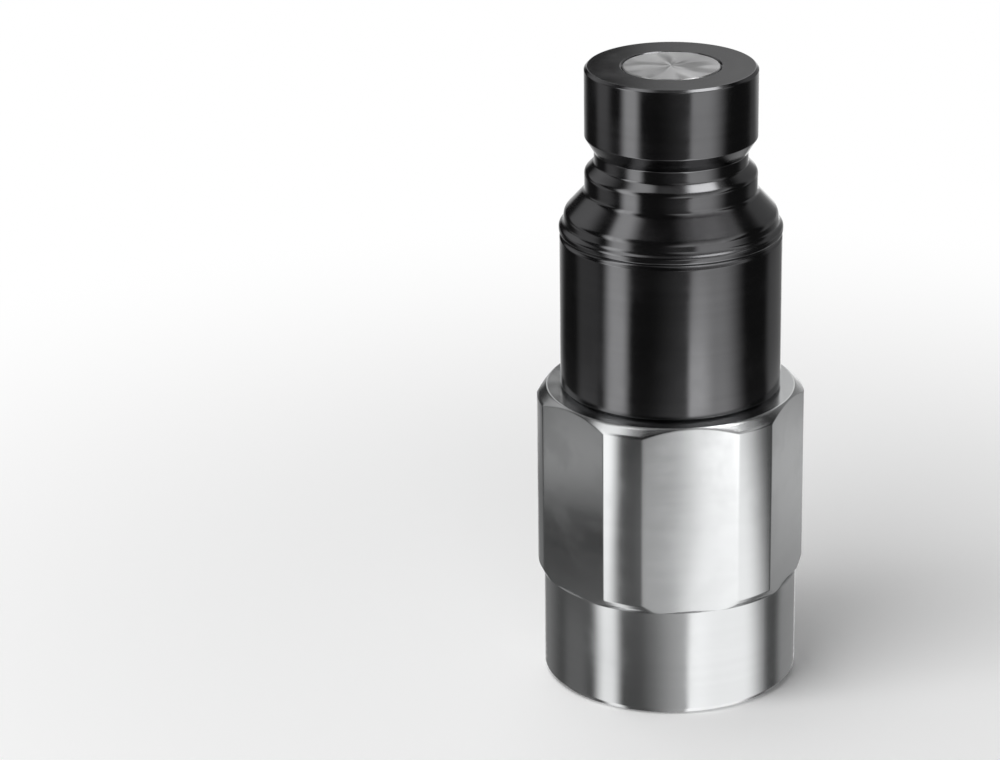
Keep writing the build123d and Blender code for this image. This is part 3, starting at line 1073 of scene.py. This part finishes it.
    def build(self, finishes: Finishes) -> None:
        """Joins the foot, hexagon, socket and port into one closed surface."""
        angles = self.angles()
        foot, inside = self.foot(), self.inside()
        hexagon_radius, hexagon_height = self.hexagon_rows(angles)
        thread_radius, thread_height = self.thread_rows(angles)
        top = self.top_radius - np.array(self.top_rings)[:, None]
        mouth = self.port_radius + self.port_chamfer + np.array(self.mouth_rings)[:, None]
        flat = np.ones((1, len(angles)))
        blocks = [
            (foot[:, :1], foot[:, 1:2], foot[:, 2:3]),
            (hexagon_radius, hexagon_height, self.hexagon_wear(angles, hexagon_radius)),
            (top, self.length + 0.0 * top, 0.0 * top),
            (inside[:, :1], inside[:, 1:2], inside[:, 2:3]),
            (thread_radius, thread_height, 0.0 * thread_radius),
            (mouth, 0.0 * mouth, 0.0 * mouth),
        ]
        radius, height, edge = (np.concatenate([part * flat for part in parts]) for parts in zip(*blocks))
        piece = closed_piece("milled_adapter", swept_points(radius, height, angles), poles=False, edge=edge)
        settle(piece, Body.HOUSING, "adapter", finishes[Slot.BRIGHT])


@dataclass(frozen=True)
class Poppet:
    """Flat poppet with its seal groove, notched stop flange and long stem."""

    length: float = 91.4
    head_radius: float = 6.87
    face_chamfer: float = 0.15
    seal_radius: float = 5.35
    seal_top: float = 89.2
    seal_bottom: float = 86.6
    flange_radius: float = 8.2
    flange_top: float = 85.4
    flange_bottom: float = 83.2
    notch_radius: float = 1.6
    notch_circle: float = 8.45
    notches: int = 4
    notch_columns: int = 13
    boss_radius: float = 5.2
    boss_bottom: float = 81.2
    stem_radius: float = 3.4
    stem_end: float = 47.55
    stem_chamfer: float = 0.5
    seam: float = 0.03
    columns: int = 96

    def notched(self, radius: np.ndarray, angles: np.ndarray) -> np.ndarray:
        """Cuts round notches into the flange.

        A notch's edge lies on its circle: the distance to its centre times the cosine of the angle, less the
        root of its radius squared less the sideways distance squared.
        """
        step = TURN / self.notches
        offset = (angles + 0.5 * step) % step - 0.5 * step
        sideways = self.notch_circle * np.sin(offset)
        inside = np.abs(sideways) < self.notch_radius
        depth = np.sqrt(np.maximum(self.notch_radius**2 - sideways**2, 0.0))
        cut = np.where(inside, self.notch_circle * np.cos(offset) - depth, self.flange_radius)
        floor = self.head_radius + self.seam
        return np.where(radius > floor, np.minimum(radius, np.maximum(cut, floor)[None, :]), radius)

    def outline(self) -> np.ndarray:
        """Rounded outline of the poppet, from the stem's end up to the middle of the face."""
        return rounded_outline(
            [
                (0.0, self.stem_end, 0.0),
                (self.stem_radius - self.stem_chamfer, self.stem_end, 0.08),
                (self.stem_radius, self.stem_end + self.stem_chamfer, 0.1),
                (self.stem_radius, self.boss_bottom, 0.3),
                (self.boss_radius, self.boss_bottom, 0.12),
                (self.boss_radius, self.flange_bottom, 0.2),
                (self.flange_radius, self.flange_bottom, 0.1),
                (self.flange_radius, self.flange_top, 0.1),
                (self.head_radius, self.flange_top, 0.1),
                (self.head_radius, self.seal_bottom, 0.08),
                (self.seal_radius, self.seal_bottom, 0.12),
                (self.seal_radius, self.seal_top, 0.12),
                (self.head_radius, self.seal_top, 0.08),
                (self.head_radius, self.length - self.face_chamfer, 0.05),
                (self.head_radius - self.face_chamfer, self.length, 0.05),
                (0.0, self.length, 0.0),
            ],
            closed=False,
        )

    def build(self, finishes: Finishes) -> None:
        """Turns the poppet and cuts the notches."""
        outline = self.outline()
        middles = np.arange(self.notches) * (TURN / self.notches)
        half_notch = math.asin(self.notch_radius / self.notch_circle)
        spread = np.linspace(-half_notch, half_notch, self.notch_columns)
        angles = angles_round(self.columns, middles, spread)
        radius = self.notched(outline[:, :1] * np.ones((1, len(angles))), angles)
        points = swept_points(radius, outline[:, 1:2], angles)
        piece = closed_piece("turned_poppet", points, poles=True, edge=outline[:, 2:3])
        settle(piece, Body.MAIN_VALVE, "main_valve", finishes[Slot.VALVE])


@dataclass(frozen=True)
class CoilSpring:
    """Pressed coil spring whose end turns are closed and ground flat.

    The end turns climb by their pitch, in wires a turn. The open turns begin after the closed ones, in turns
    from either end, over a change of half a turn. The ends are ground off by a share of the wire.
    """

    name: str
    node: str
    body: Body
    joint: str
    bottom: float
    top: float
    coil_radius: float
    wire: float
    turns: float
    travel: float
    end_pitch: float = 1.02
    closed_turns: float = 0.75
    change: float = 0.5
    ground: float = 0.15
    rows_per_turn: int = 40
    columns: int = 14

    def points(self) -> np.ndarray:
        """Grid of the wire's surface.

        The centre line is a circle of the coil's radius that climbs by a rate: the end pitch in the end
        turns and an even, larger rate between. A circle of half the wire goes along it, and heights beyond
        the ground ends are cut to them.

        Returns:
            Points in millimetres, (rows, columns, 3), whose first and last rows are one point each.
        """
        turn = np.linspace(0.0, self.turns, int(self.turns * self.rows_per_turn) + 1)
        end_rate = self.end_pitch * self.wire
        rise = soft_step((turn - self.closed_turns) / self.change)
        fall = soft_step((self.turns - turn - self.closed_turns) / self.change)
        share = rise * fall
        step = turn[1]
        sink = self.ground * self.wire
        climb = self.top - self.bottom - 2.0 * sink
        open_rate = (climb - end_rate * self.turns) / (share[1:].sum() * step)
        rate = end_rate + open_rate * share
        height = self.bottom + sink + np.concatenate([[0.0], np.cumsum(rate[1:]) * step])
        angle = TURN * turn[:, None]
        round_wire = plain_turn(self.columns)[None, :]
        radius = self.coil_radius + 0.5 * self.wire * np.cos(round_wire)
        level = np.clip(height[:, None] - 0.5 * self.wire * np.sin(round_wire), self.bottom, self.top)
        surface = np.stack([radius * np.cos(angle), radius * np.sin(angle), level], axis=-1)
        ends = surface[[0, -1]].mean(axis=1, keepdims=True) * np.ones((1, self.columns, 1))
        return np.concatenate([ends[:1], surface, ends[1:]])

    def build(self, finishes: Finishes) -> None:
        """Winds the spring and gives it a mesh of its own."""
        piece = closed_piece(self.name, self.points(), poles=True)
        settle(piece, self.body, self.node, finishes[Slot.SPRING])
        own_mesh(piece)


class ValveTrain:
    """The three springs of the valve train. The other inner parts keep the model's own surfaces."""

    SPRINGS = (
        CoilSpring(
            name="wound_main_spring",
            node="main_spring",
            body=Body.HOUSING,
            joint="main_valve_slide",
            bottom=54.0,
            top=83.2,
            coil_radius=6.2,
            wire=1.5,
            turns=7.5,
            travel=7.0,
        ),
        CoilSpring(
            name="wound_check_spring",
            node="check_spring",
            body=Body.HOUSING,
            joint="check_valve_slide",
            bottom=24.5,
            top=41.5,
            coil_radius=6.2,
            wire=1.3,
            turns=5.5,
            travel=5.5,
        ),
        CoilSpring(
            name="wound_pilot_spring",
            node="pilot_spring",
            body=Body.CHECK_VALVE,
            joint="pilot_slide",
            bottom=23.0,
            top=38.0,
            coil_radius=1.6,
            wire=0.5,
            turns=9.0,
            travel=1.2,
        ),
    )

    def build(self, finishes: Finishes) -> None:
        """Winds each spring."""
        for spring in self.SPRINGS:
            spring.build(finishes)


@dataclass(frozen=True)
class SoftBox:
    """A square soft lamp that looks at the nipple and stays out of its gloss. Its sizes are in metres."""

    name: str
    azimuth: float
    elevation: float
    distance: float
    width: float
    brightness: float
    aim_height: float = 0.05

    def build(self) -> None:
        """Places the lamp. Its power is its brightness times its area times pi."""
        azimuth, elevation = math.radians(self.azimuth), math.radians(self.elevation)
        away = Vector(
            (
                math.sin(azimuth) * math.cos(elevation),
                -math.cos(azimuth) * math.cos(elevation),
                math.sin(elevation),
            )
        )
        lamp = bpy.data.lights.new(self.name, "AREA")
        lamp.shape = "SQUARE"
        lamp.size = self.width
        lamp.energy = self.brightness * self.width * self.width * math.pi
        stand = new_object(self.name, lamp)
        stand.location = Vector((0.0, 0.0, self.aim_height)) + away * self.distance
        stand.rotation_mode = "QUATERNION"
        stand.rotation_quaternion = away.to_track_quat("Z", "Y")
        stand.visible_camera = False
        stand.visible_glossy = False


@dataclass(frozen=True)
class Panel:
    """A bright sheet between two azimuths, whose edges and level change from band to band.

    Azimuths run from the photograph's direction of view, positive to the right, in degrees. Each tuple holds
    one value for each band of the surface that the panel lies on. A level below zero is painted shade: a
    negative glow that takes light away from the sheets that it lies on, so that a dark patch shows in their
    reflections.
    """

    left: tuple[float, ...]
    right: tuple[float, ...]
    level: tuple[float, ...]
    fade_left: float = 12.0
    fade_right: float = 12.0

    def glow(self, azimuth: np.ndarray, place: np.ndarray, bands: tuple[float, ...]) -> np.ndarray:
        """Brightness that the panel adds.

        It is the level times a soft step up at the left edge less a soft step up at the right edge.

        Args:
            azimuth: Azimuths in degrees.
            place: Where each point lies across the bands, of a shape that broadcasts with the azimuths.
            bands: Places of the bands.

        Returns:
            The brightness of each point.
        """
        tables = (self.left, self.right, self.level)
        left, right, level = (np.interp(place, bands, table) for table in tables)
        rise = soft_step((azimuth - left) / self.fade_left + 0.5)
        fall = soft_step((azimuth - right) / self.fade_right + 0.5)
        return level * np.maximum(rise - fall, 0.0)


@dataclass(frozen=True)
class PanelSurface:
    """A surface of panels that shows only in the gloss of the nipple."""

    bands: tuple[float, ...]
    base: float
    panels: tuple[Panel, ...]

    def glow(self, azimuth: np.ndarray, place: np.ndarray) -> np.ndarray:
        """Brightness of the surface, the base and what every panel adds.

        Args:
            azimuth: Azimuths in degrees.
            place: Where each point lies across the bands.

        Returns:
            The brightness of each point.
        """
        glow = self.base + 0.0 * azimuth + 0.0 * place
        for panel in self.panels:
            glow = glow + panel.glow(azimuth, place, self.bands)
        return glow


class LightTent:
    """A cloth tent and a mat under the nipple, both seen only in its gloss.

    The walls of the nipple mirror the mat, because the camera looks down on them. Its cones, bevels and
    faces mirror the tent. The mat's bands are distances from the axis in millimetres, the tent's are
    elevations. The mat's panels lie by mirrored azimuth, so that their edges stand upright in the walls.
    """

    TENT_RADIUS = 2500.0
    COLUMNS = 720
    TENT_ROWS = 121
    MAT_ROWS = 110
    MAT_START = 10.0
    MAT_END = 0.999 * TENT_RADIUS
    MAT_LEVEL = -0.5
    GLOW = "glow"
    WALL_DISTANCES = (40.0, 80.0, 102.0, 140.0, 195.0, 290.0)
    WALL_RADII = (18.3, 19.2, 19.2, 15.8, 15.8, 12.25)
    FAR_LEFT = (-220.0,) * 7
    FAR_RIGHT = (220.0,) * 7
    MAT_EDGE = (16.0, 18.6, 19.9, 18.0, 20.0, 26.0, 26.0)
    MAT = PanelSurface(
        bands=(40.0, 80.0, 102.0, 140.0, 195.0, 290.0, 420.0),
        base=0.025,
        panels=(
            # Faint sheet all round, near the foot
            Panel(
                left=FAR_LEFT,
                right=FAR_RIGHT,
                level=(0.05, 0.06, 0.06, 0.0, 0.0, 0.0, 0.0),
            ),
            # Left strip
            Panel(
                left=(-70.0, -73.0, -73.0, -71.0, -70.0, -67.0, -67.0),
                right=(-49.0, -50.5, -48.0, -47.0, -46.0, -44.5, -44.5),
                level=(0.92, 1.08, 1.20, 1.36, 1.30, 1.20, 1.20),
                fade_left=14.0,
                fade_right=12.0,
            ),
            # Grey sheet that fades in up to the front edge
            Panel(
                left=(-6.0, -14.0, -14.0, 0.0, 4.0, 6.0, 6.0),
                right=MAT_EDGE,
                level=(0.38, 0.34, 0.34, 0.20, 0.14, 0.10, 0.10),
                fade_left=50.0,
                fade_right=6.0,
            ),
            # Main sheet right of the front edge
            Panel(
                left=MAT_EDGE,
                right=(88.0, 83.0, 80.5, 70.0, 67.0, 63.0, 76.0),
                level=(1.02, 1.04, 1.03, 0.90, 0.74, 1.00, 0.70),
                fade_left=6.0,
                fade_right=34.0,
            ),
            # Bright bar beside the front edge
            Panel(
                left=MAT_EDGE,
                right=(34.0, 34.0, 34.0, 40.0, 36.0, 50.0, 50.0),
                level=(0.10, 0.14, 0.18, 1.05, 0.08, 0.05, 0.05),
                fade_left=6.0,
                fade_right=18.0,
            ),
            # Left sheet, with painted shade before it: a negative glow that darkens what the walls reflect
            # there
            Panel(
                left=(-112.0, -112.0, -114.0, -112.0, -112.0, -114.0, -128.0),
                right=(-84.0, -86.0, -88.0, -78.0, -76.0, -92.0, -82.0),
                level=(0.06, -0.085, 0.36, 0.13, 0.13, 0.27, 0.26),
                fade_left=14.0,
                fade_right=14.0,
            ),
            # Left sheet behind
            Panel(
                left=FAR_LEFT,
                right=(-135.0, -140.0, -145.0, -160.0, -156.0, -159.0, -159.0),
                level=(0.12, 0.08, 0.22, 0.50, 0.56, 0.60, 0.60),
                fade_left=10.0,
                fade_right=36.0,
            ),
            # Right sheet behind
            Panel(
                left=(118.0, 128.0, 130.0, 119.0, 119.0, 130.0, 110.0),
                right=FAR_RIGHT,
                level=(0.20, 0.38, 0.42, 0.20, 0.18, 0.12, 0.20),
                fade_left=14.0,
                fade_right=10.0,
            ),
            # Far right sheet behind
            Panel(
                left=(150.0, 150.0, 150.0, 150.0, 160.0, 146.0, 146.0),
                right=FAR_RIGHT,
                level=(0.0, 0.0, 0.0, 0.0, 0.04, 0.33, 0.33),
                fade_left=20.0,
                fade_right=10.0,
            ),
            # Right strip straight behind
            Panel(
                left=(168.0, 168.0, 168.0, 165.0, 165.0, 166.0, 166.0),
                right=(197.0, 195.0, 194.0, 186.0, 184.0, 182.0, 182.0),
                level=(0.85, 0.85, 0.85, 0.80, 0.80, 0.70, 0.60),
                fade_left=6.0,
                fade_right=6.0,
            ),
            # Left strip straight behind
            Panel(
                left=(-186.0, -186.0, -186.0, -182.0, -182.0, -181.0, -181.0),
                right=(-166.0, -168.0, -168.0, -169.0, -169.0, -170.0, -170.0),
                level=(0.60, 0.60, 0.55, 0.35, 0.30, 0.25, 0.20),
                fade_left=5.0,
                fade_right=6.0,
            ),
        ),
    )
    TENT = PanelSurface(
        bands=(0.0, 16.0, 30.0, 52.0, 56.0, 65.0, 70.0),
        base=0.02,
        panels=(
            # Left strip
            Panel(
                left=(-68.0, -74.0, -80.0, -91.0, -91.0, -88.0, -86.0),
                right=(-44.0, -47.0, -52.0, -62.0, -62.0, -55.0, -42.0),
                level=(1.25, 1.25, 1.25, 1.20, 1.20, 1.20, 1.20),
                fade_left=12.0,
                fade_right=16.0,
            ),
            # Right sheet
            Panel(
                left=(4.0, 8.0, 16.0, 22.0, 22.0, 18.0, 15.0),
                right=(60.0, 72.0, 90.0, 105.0, 105.0, 105.0, 105.0),
                level=(0.76, 0.55, 0.45, 0.28, 0.22, 0.18, 0.40),
                fade_left=30.0,
                fade_right=16.0,
            ),
            # Spark for the groove's flank
            Panel(
                left=(92.0, 92.0, 92.0, 92.0, 81.5, 55.0, 40.3),
                right=(97.0, 97.0, 97.0, 97.0, 97.0, 97.0, 97.0),
                level=(0.0, 0.0, 0.0, 0.0, 3.9, 3.9, 4.8),
                fade_left=18.0,
                fade_right=12.0,
            ),
            # Left sheet behind
            Panel(
                left=(-112.0, -145.0, -143.0, -140.0, -140.0, -140.0, -140.0),
                right=(-74.0, -112.0, -109.0, -106.0, -106.0, -106.0, -106.0),
                level=(0.13, 0.32, 0.42, 0.16, 0.16, 0.16, 0.16),
                fade_left=18.0,
                fade_right=16.0,
            ),
            # Right sheet beside
            Panel(
                left=(112.0, 118.0, 120.0, 118.0, 118.0, 118.0, 118.0),
                right=FAR_RIGHT,
                level=(0.20, 0.20, 0.20, 0.10, 0.10, 0.10, 0.10),
                fade_left=14.0,
                fade_right=10.0,
            ),
            # Right sheet behind
            Panel(
                left=(150.0, 160.0, 160.0, 160.0, 160.0, 160.0, 160.0),
                right=FAR_RIGHT,
                level=(0.10, 0.09, 0.34, 0.50, 0.50, 0.40, 0.10),
                fade_left=20.0,
                fade_right=10.0,
            ),
            # Bright wall right of the gap behind the flat faces
            Panel(
                left=(162.0, 162.0, 162.0, 162.0, 162.0, 162.0, 162.0),
                right=(176.0, 176.0, 178.0, 190.0, 190.0, 190.0, 190.0),
                level=(0.26, 0.46, 0.30, 0.14, 0.14, 0.0, 0.0),
                fade_left=8.0,
                fade_right=2.0,
            ),
            # Bright wall left of the gap
            Panel(
                left=(-175.0, -175.0, -175.5, -190.0, -190.0, -190.0, -190.0),
                right=(-162.0, -162.0, -162.0, -162.0, -162.0, -162.0, -162.0),
                level=(0.58, 0.68, 0.76, 0.68, 0.66, 0.40, 0.10),
                fade_left=2.0,
                fade_right=10.0,
            ),
        ),
    )
    CEILING = 0.22
    CEILING_EDGE = (68.0, 74.0)
    ROUNDS = 12

    def mirrored(self, azimuth: np.ndarray, distance: np.ndarray) -> np.ndarray:
        """Azimuth into which a wall turns the camera's look where it meets each point of the mat.

        The wall's own azimuth at the mirroring spot is half the result. The sine of the result less the
        point's azimuth is the wall's radius over the point's distance, times the sine of that half. Putting
        the last half back in, a few rounds settle it.

        Args:
            azimuth: Azimuths of the mat's points about the axis, in degrees.
            distance: Distances from the axis in millimetres, of a shape that broadcasts with the azimuths.

        Returns:
            Mirrored azimuths in degrees.
        """
        share = np.interp(distance, self.WALL_DISTANCES, self.WALL_RADII) / distance
        point = np.radians(azimuth) + 0.0 * share
        half = 0.5 * point
        for _ in range(self.ROUNDS):
            half = 0.5 * (point + np.arcsin(np.clip(share * np.sin(half), -1.0, 1.0)))
        return np.degrees(2.0 * half)

    def dress(self) -> bpy.types.Material:
        """Emission whose strength is the surface's own glow."""
        material, wiring = new_material("tent_cloth")
        level = wiring.add("ShaderNodeAttribute", attribute_name=self.GLOW)
        cloth = wiring.add("ShaderNodeEmission")
        wiring.join(level.outputs["Fac"], cloth.inputs["Strength"])
        wiring.finish("ShaderNodeOutputMaterial", cloth.outputs[0])
        return material

    def hang(self, name: str, points: np.ndarray, glow: np.ndarray, material: bpy.types.Material) -> None:
        """Makes one surface of the tent and hides it from everything except gloss.

        Args:
            name: Name of the object.
            points: Grid in millimetres, (rows, columns, 3), whose columns close on themselves.
            glow: Brightness of each grid point.
            material: The cloth.
        """
        cloth = open_sheet(name, points, turned=False)
        values = cloth.data.attributes.new(self.GLOW, "FLOAT", "POINT").data
        values.foreach_set("value", glow.astype(np.float32).ravel())
        cloth.data.materials.append(material)
        cloth.visible_camera = False
        cloth.visible_diffuse = False
        cloth.visible_shadow = False
        cloth.visible_transmission = False

    def build(self) -> None:
        """Hangs the tent as a ball and lays the mat as a disc."""
        material = self.dress()
        columns = plain_turn(self.COLUMNS)
        azimuth = ((np.degrees(columns) + 90.0 + CAMERA_HEADING + 180.0) % 360.0 - 180.0)[None, :]
        elevation = np.linspace(-90.0, 90.0, self.TENT_ROWS)[:, None]
        wall = self.TENT.glow(azimuth, elevation)
        share = soft_step((elevation - self.CEILING_EDGE[0]) / np.ptp(self.CEILING_EDGE))
        points = swept_points(
            self.TENT_RADIUS * np.cos(np.radians(elevation)),
            self.TENT_RADIUS * np.sin(np.radians(elevation)),
            columns,
        )
        self.hang("light_tent", points, wall + (self.CEILING - wall) * share, material)
        distance = np.geomspace(self.MAT_START, self.MAT_END, self.MAT_ROWS)[:, None]
        points = swept_points(distance, np.full_like(distance, self.MAT_LEVEL), columns)
        self.hang("light_mat", points, self.MAT.glow(self.mirrored(azimuth, distance), distance), material)


class Studio:
    """Floor, light tent, lamps, background and camera."""

    FLOOR_RADIUS = 8000.0
    FLOOR_ROWS = 12
    FLOOR_COLUMNS = 64
    FLOOR_COLOUR = (0.98, 0.98, 0.98, 1.0)
    SHADE_END = (55.0, 205.0)
    AMBIENT = 0.10
    LAMPS = (
        SoftBox("key_left", azimuth=-58.0, elevation=50.0, distance=1.2, width=0.85, brightness=3.55),
        SoftBox("fill_front", azimuth=-12.0, elevation=38.0, distance=1.2, width=0.8, brightness=0.9),
        SoftBox("top_left", azimuth=-90.0, elevation=70.0, distance=1.2, width=0.7, brightness=2.0),
        SoftBox("top_back", azimuth=-170.0, elevation=66.0, distance=1.1, width=0.6, brightness=1.7),
    )
    PITCH = 21.0
    LENS = 144.0
    # Focal length, and how far right of the picture's middle the nipple stands, in pixels
    FOCAL_PIXELS = 4000.0
    RIGHT_PIXELS = 134.8
    PAN = math.degrees(math.atan(RIGHT_PIXELS / FOCAL_PIXELS))
    # Place and clipping distances in metres
    CAMERA_PLACE = (-0.08767, -0.52986, 0.25055)
    CLIP = (0.01, 50.0)

    def floor(self) -> None:
        """Lays a white round floor that takes shadows near the nipple and stays out of the metal's gloss.

        Away from the nipple the camera sees it turn into plain white, as a sweep of paper under its own
        lamps.
        """
        rim = np.linspace(0.0, self.FLOOR_RADIUS, self.FLOOR_ROWS)[:, None]
        points = swept_points(rim, 0.0 * rim, plain_turn(self.FLOOR_COLUMNS))
        floor = open_sheet("floor", points, turned=True)
        material, wiring = new_material("white_sweep")
        paint = wiring.add("ShaderNodeBsdfDiffuse")
        paint.inputs["Color"].default_value = self.FLOOR_COLOUR
        white = wiring.add("ShaderNodeEmission")
        distance = wiring.add("ShaderNodeVectorMath", operation="LENGTH")
        wiring.join(wiring.place(), distance.inputs[0])
        start, end = self.SHADE_END
        away = wiring.spread(distance.outputs["Value"], start * METRES, end * METRES)
        path = wiring.add("ShaderNodeLightPath")
        mix = wiring.add("ShaderNodeMixShader")
        share = wiring.math("MULTIPLY", away, path.outputs["Is Camera Ray"])
        wiring.join(share, mix.inputs[0])
        wiring.join(paint.outputs[0], mix.inputs[1])
        wiring.join(white.outputs[0], mix.inputs[2])
        wiring.finish("ShaderNodeOutputMaterial", mix.outputs[0])
        floor.data.materials.append(material)
        floor.visible_glossy = False
        floor.visible_shadow = False

    def background(self) -> None:
        """White where the camera or gloss sees it, and softer where it lights the nipple."""
        world = bpy.data.worlds.new("studio_air")
        bpy.context.scene.world = world
        world.use_nodes = True
        wiring = Wiring(world.node_tree)
        path = wiring.add("ShaderNodeLightPath")
        seen = wiring.math("ADD", path.outputs["Is Camera Ray"], path.outputs["Is Glossy Ray"])
        seen = wiring.math("ADD", seen, path.outputs["Is Transmission Ray"], clamp=True)
        extra = wiring.math("MULTIPLY", seen, 1.0 - self.AMBIENT)
        air = wiring.add("ShaderNodeBackground")
        air.inputs["Color"].default_value = (1.0, 1.0, 1.0, 1.0)
        wiring.join(wiring.math("ADD", extra, self.AMBIENT), air.inputs["Strength"])
        wiring.finish("ShaderNodeOutputWorld", air.outputs[0])

    def camera(self) -> None:
        """Stands the camera at the photograph's angle.

        It looks along the heading, down by the pitch, and is then panned left about its own upright axis.
        """
        heading, pitch, pan = (math.radians(value) for value in (CAMERA_HEADING, self.PITCH, self.PAN))
        right = Vector((math.cos(heading), -math.sin(heading), 0.0))
        ahead = Vector(
            (math.sin(heading) * math.cos(pitch), math.cos(heading) * math.cos(pitch), -math.sin(pitch))
        )
        up = right.cross(ahead)
        panned_ahead = ahead * math.cos(pan) - right * math.sin(pan)
        panned_right = right * math.cos(pan) + ahead * math.sin(pan)
        lens = bpy.data.cameras.new("camera")
        lens.lens = self.LENS
        lens.clip_start, lens.clip_end = self.CLIP
        stand = new_object("camera", lens)
        turn = Matrix((panned_right, up, -panned_ahead)).transposed()
        stand.matrix_world = Matrix.Translation(self.CAMERA_PLACE) @ turn.to_4x4()
        bpy.context.scene.camera = stand

    def build(self) -> None:
        """Sets up the whole studio."""
        self.floor()
        LightTent().build()
        for lamp in self.LAMPS:
            lamp.build()
        self.background()
        self.camera()
        bpy.context.scene.view_settings.view_transform = "Standard"
        log.info("studio ready")


def main() -> None:
    """Builds the nipple and its studio."""
    logging.basicConfig(level=logging.INFO, format="%(name)s: %(message)s")
    finishes = Finishes()
    finishes.dress_nodes(frame["record"])
    HexAdapter().build(finishes)
    NippleBody().build(finishes)
    Poppet().build(finishes)
    ValveTrain().build(finishes)
    Studio().build()


if __name__ == "__main__":
    main()
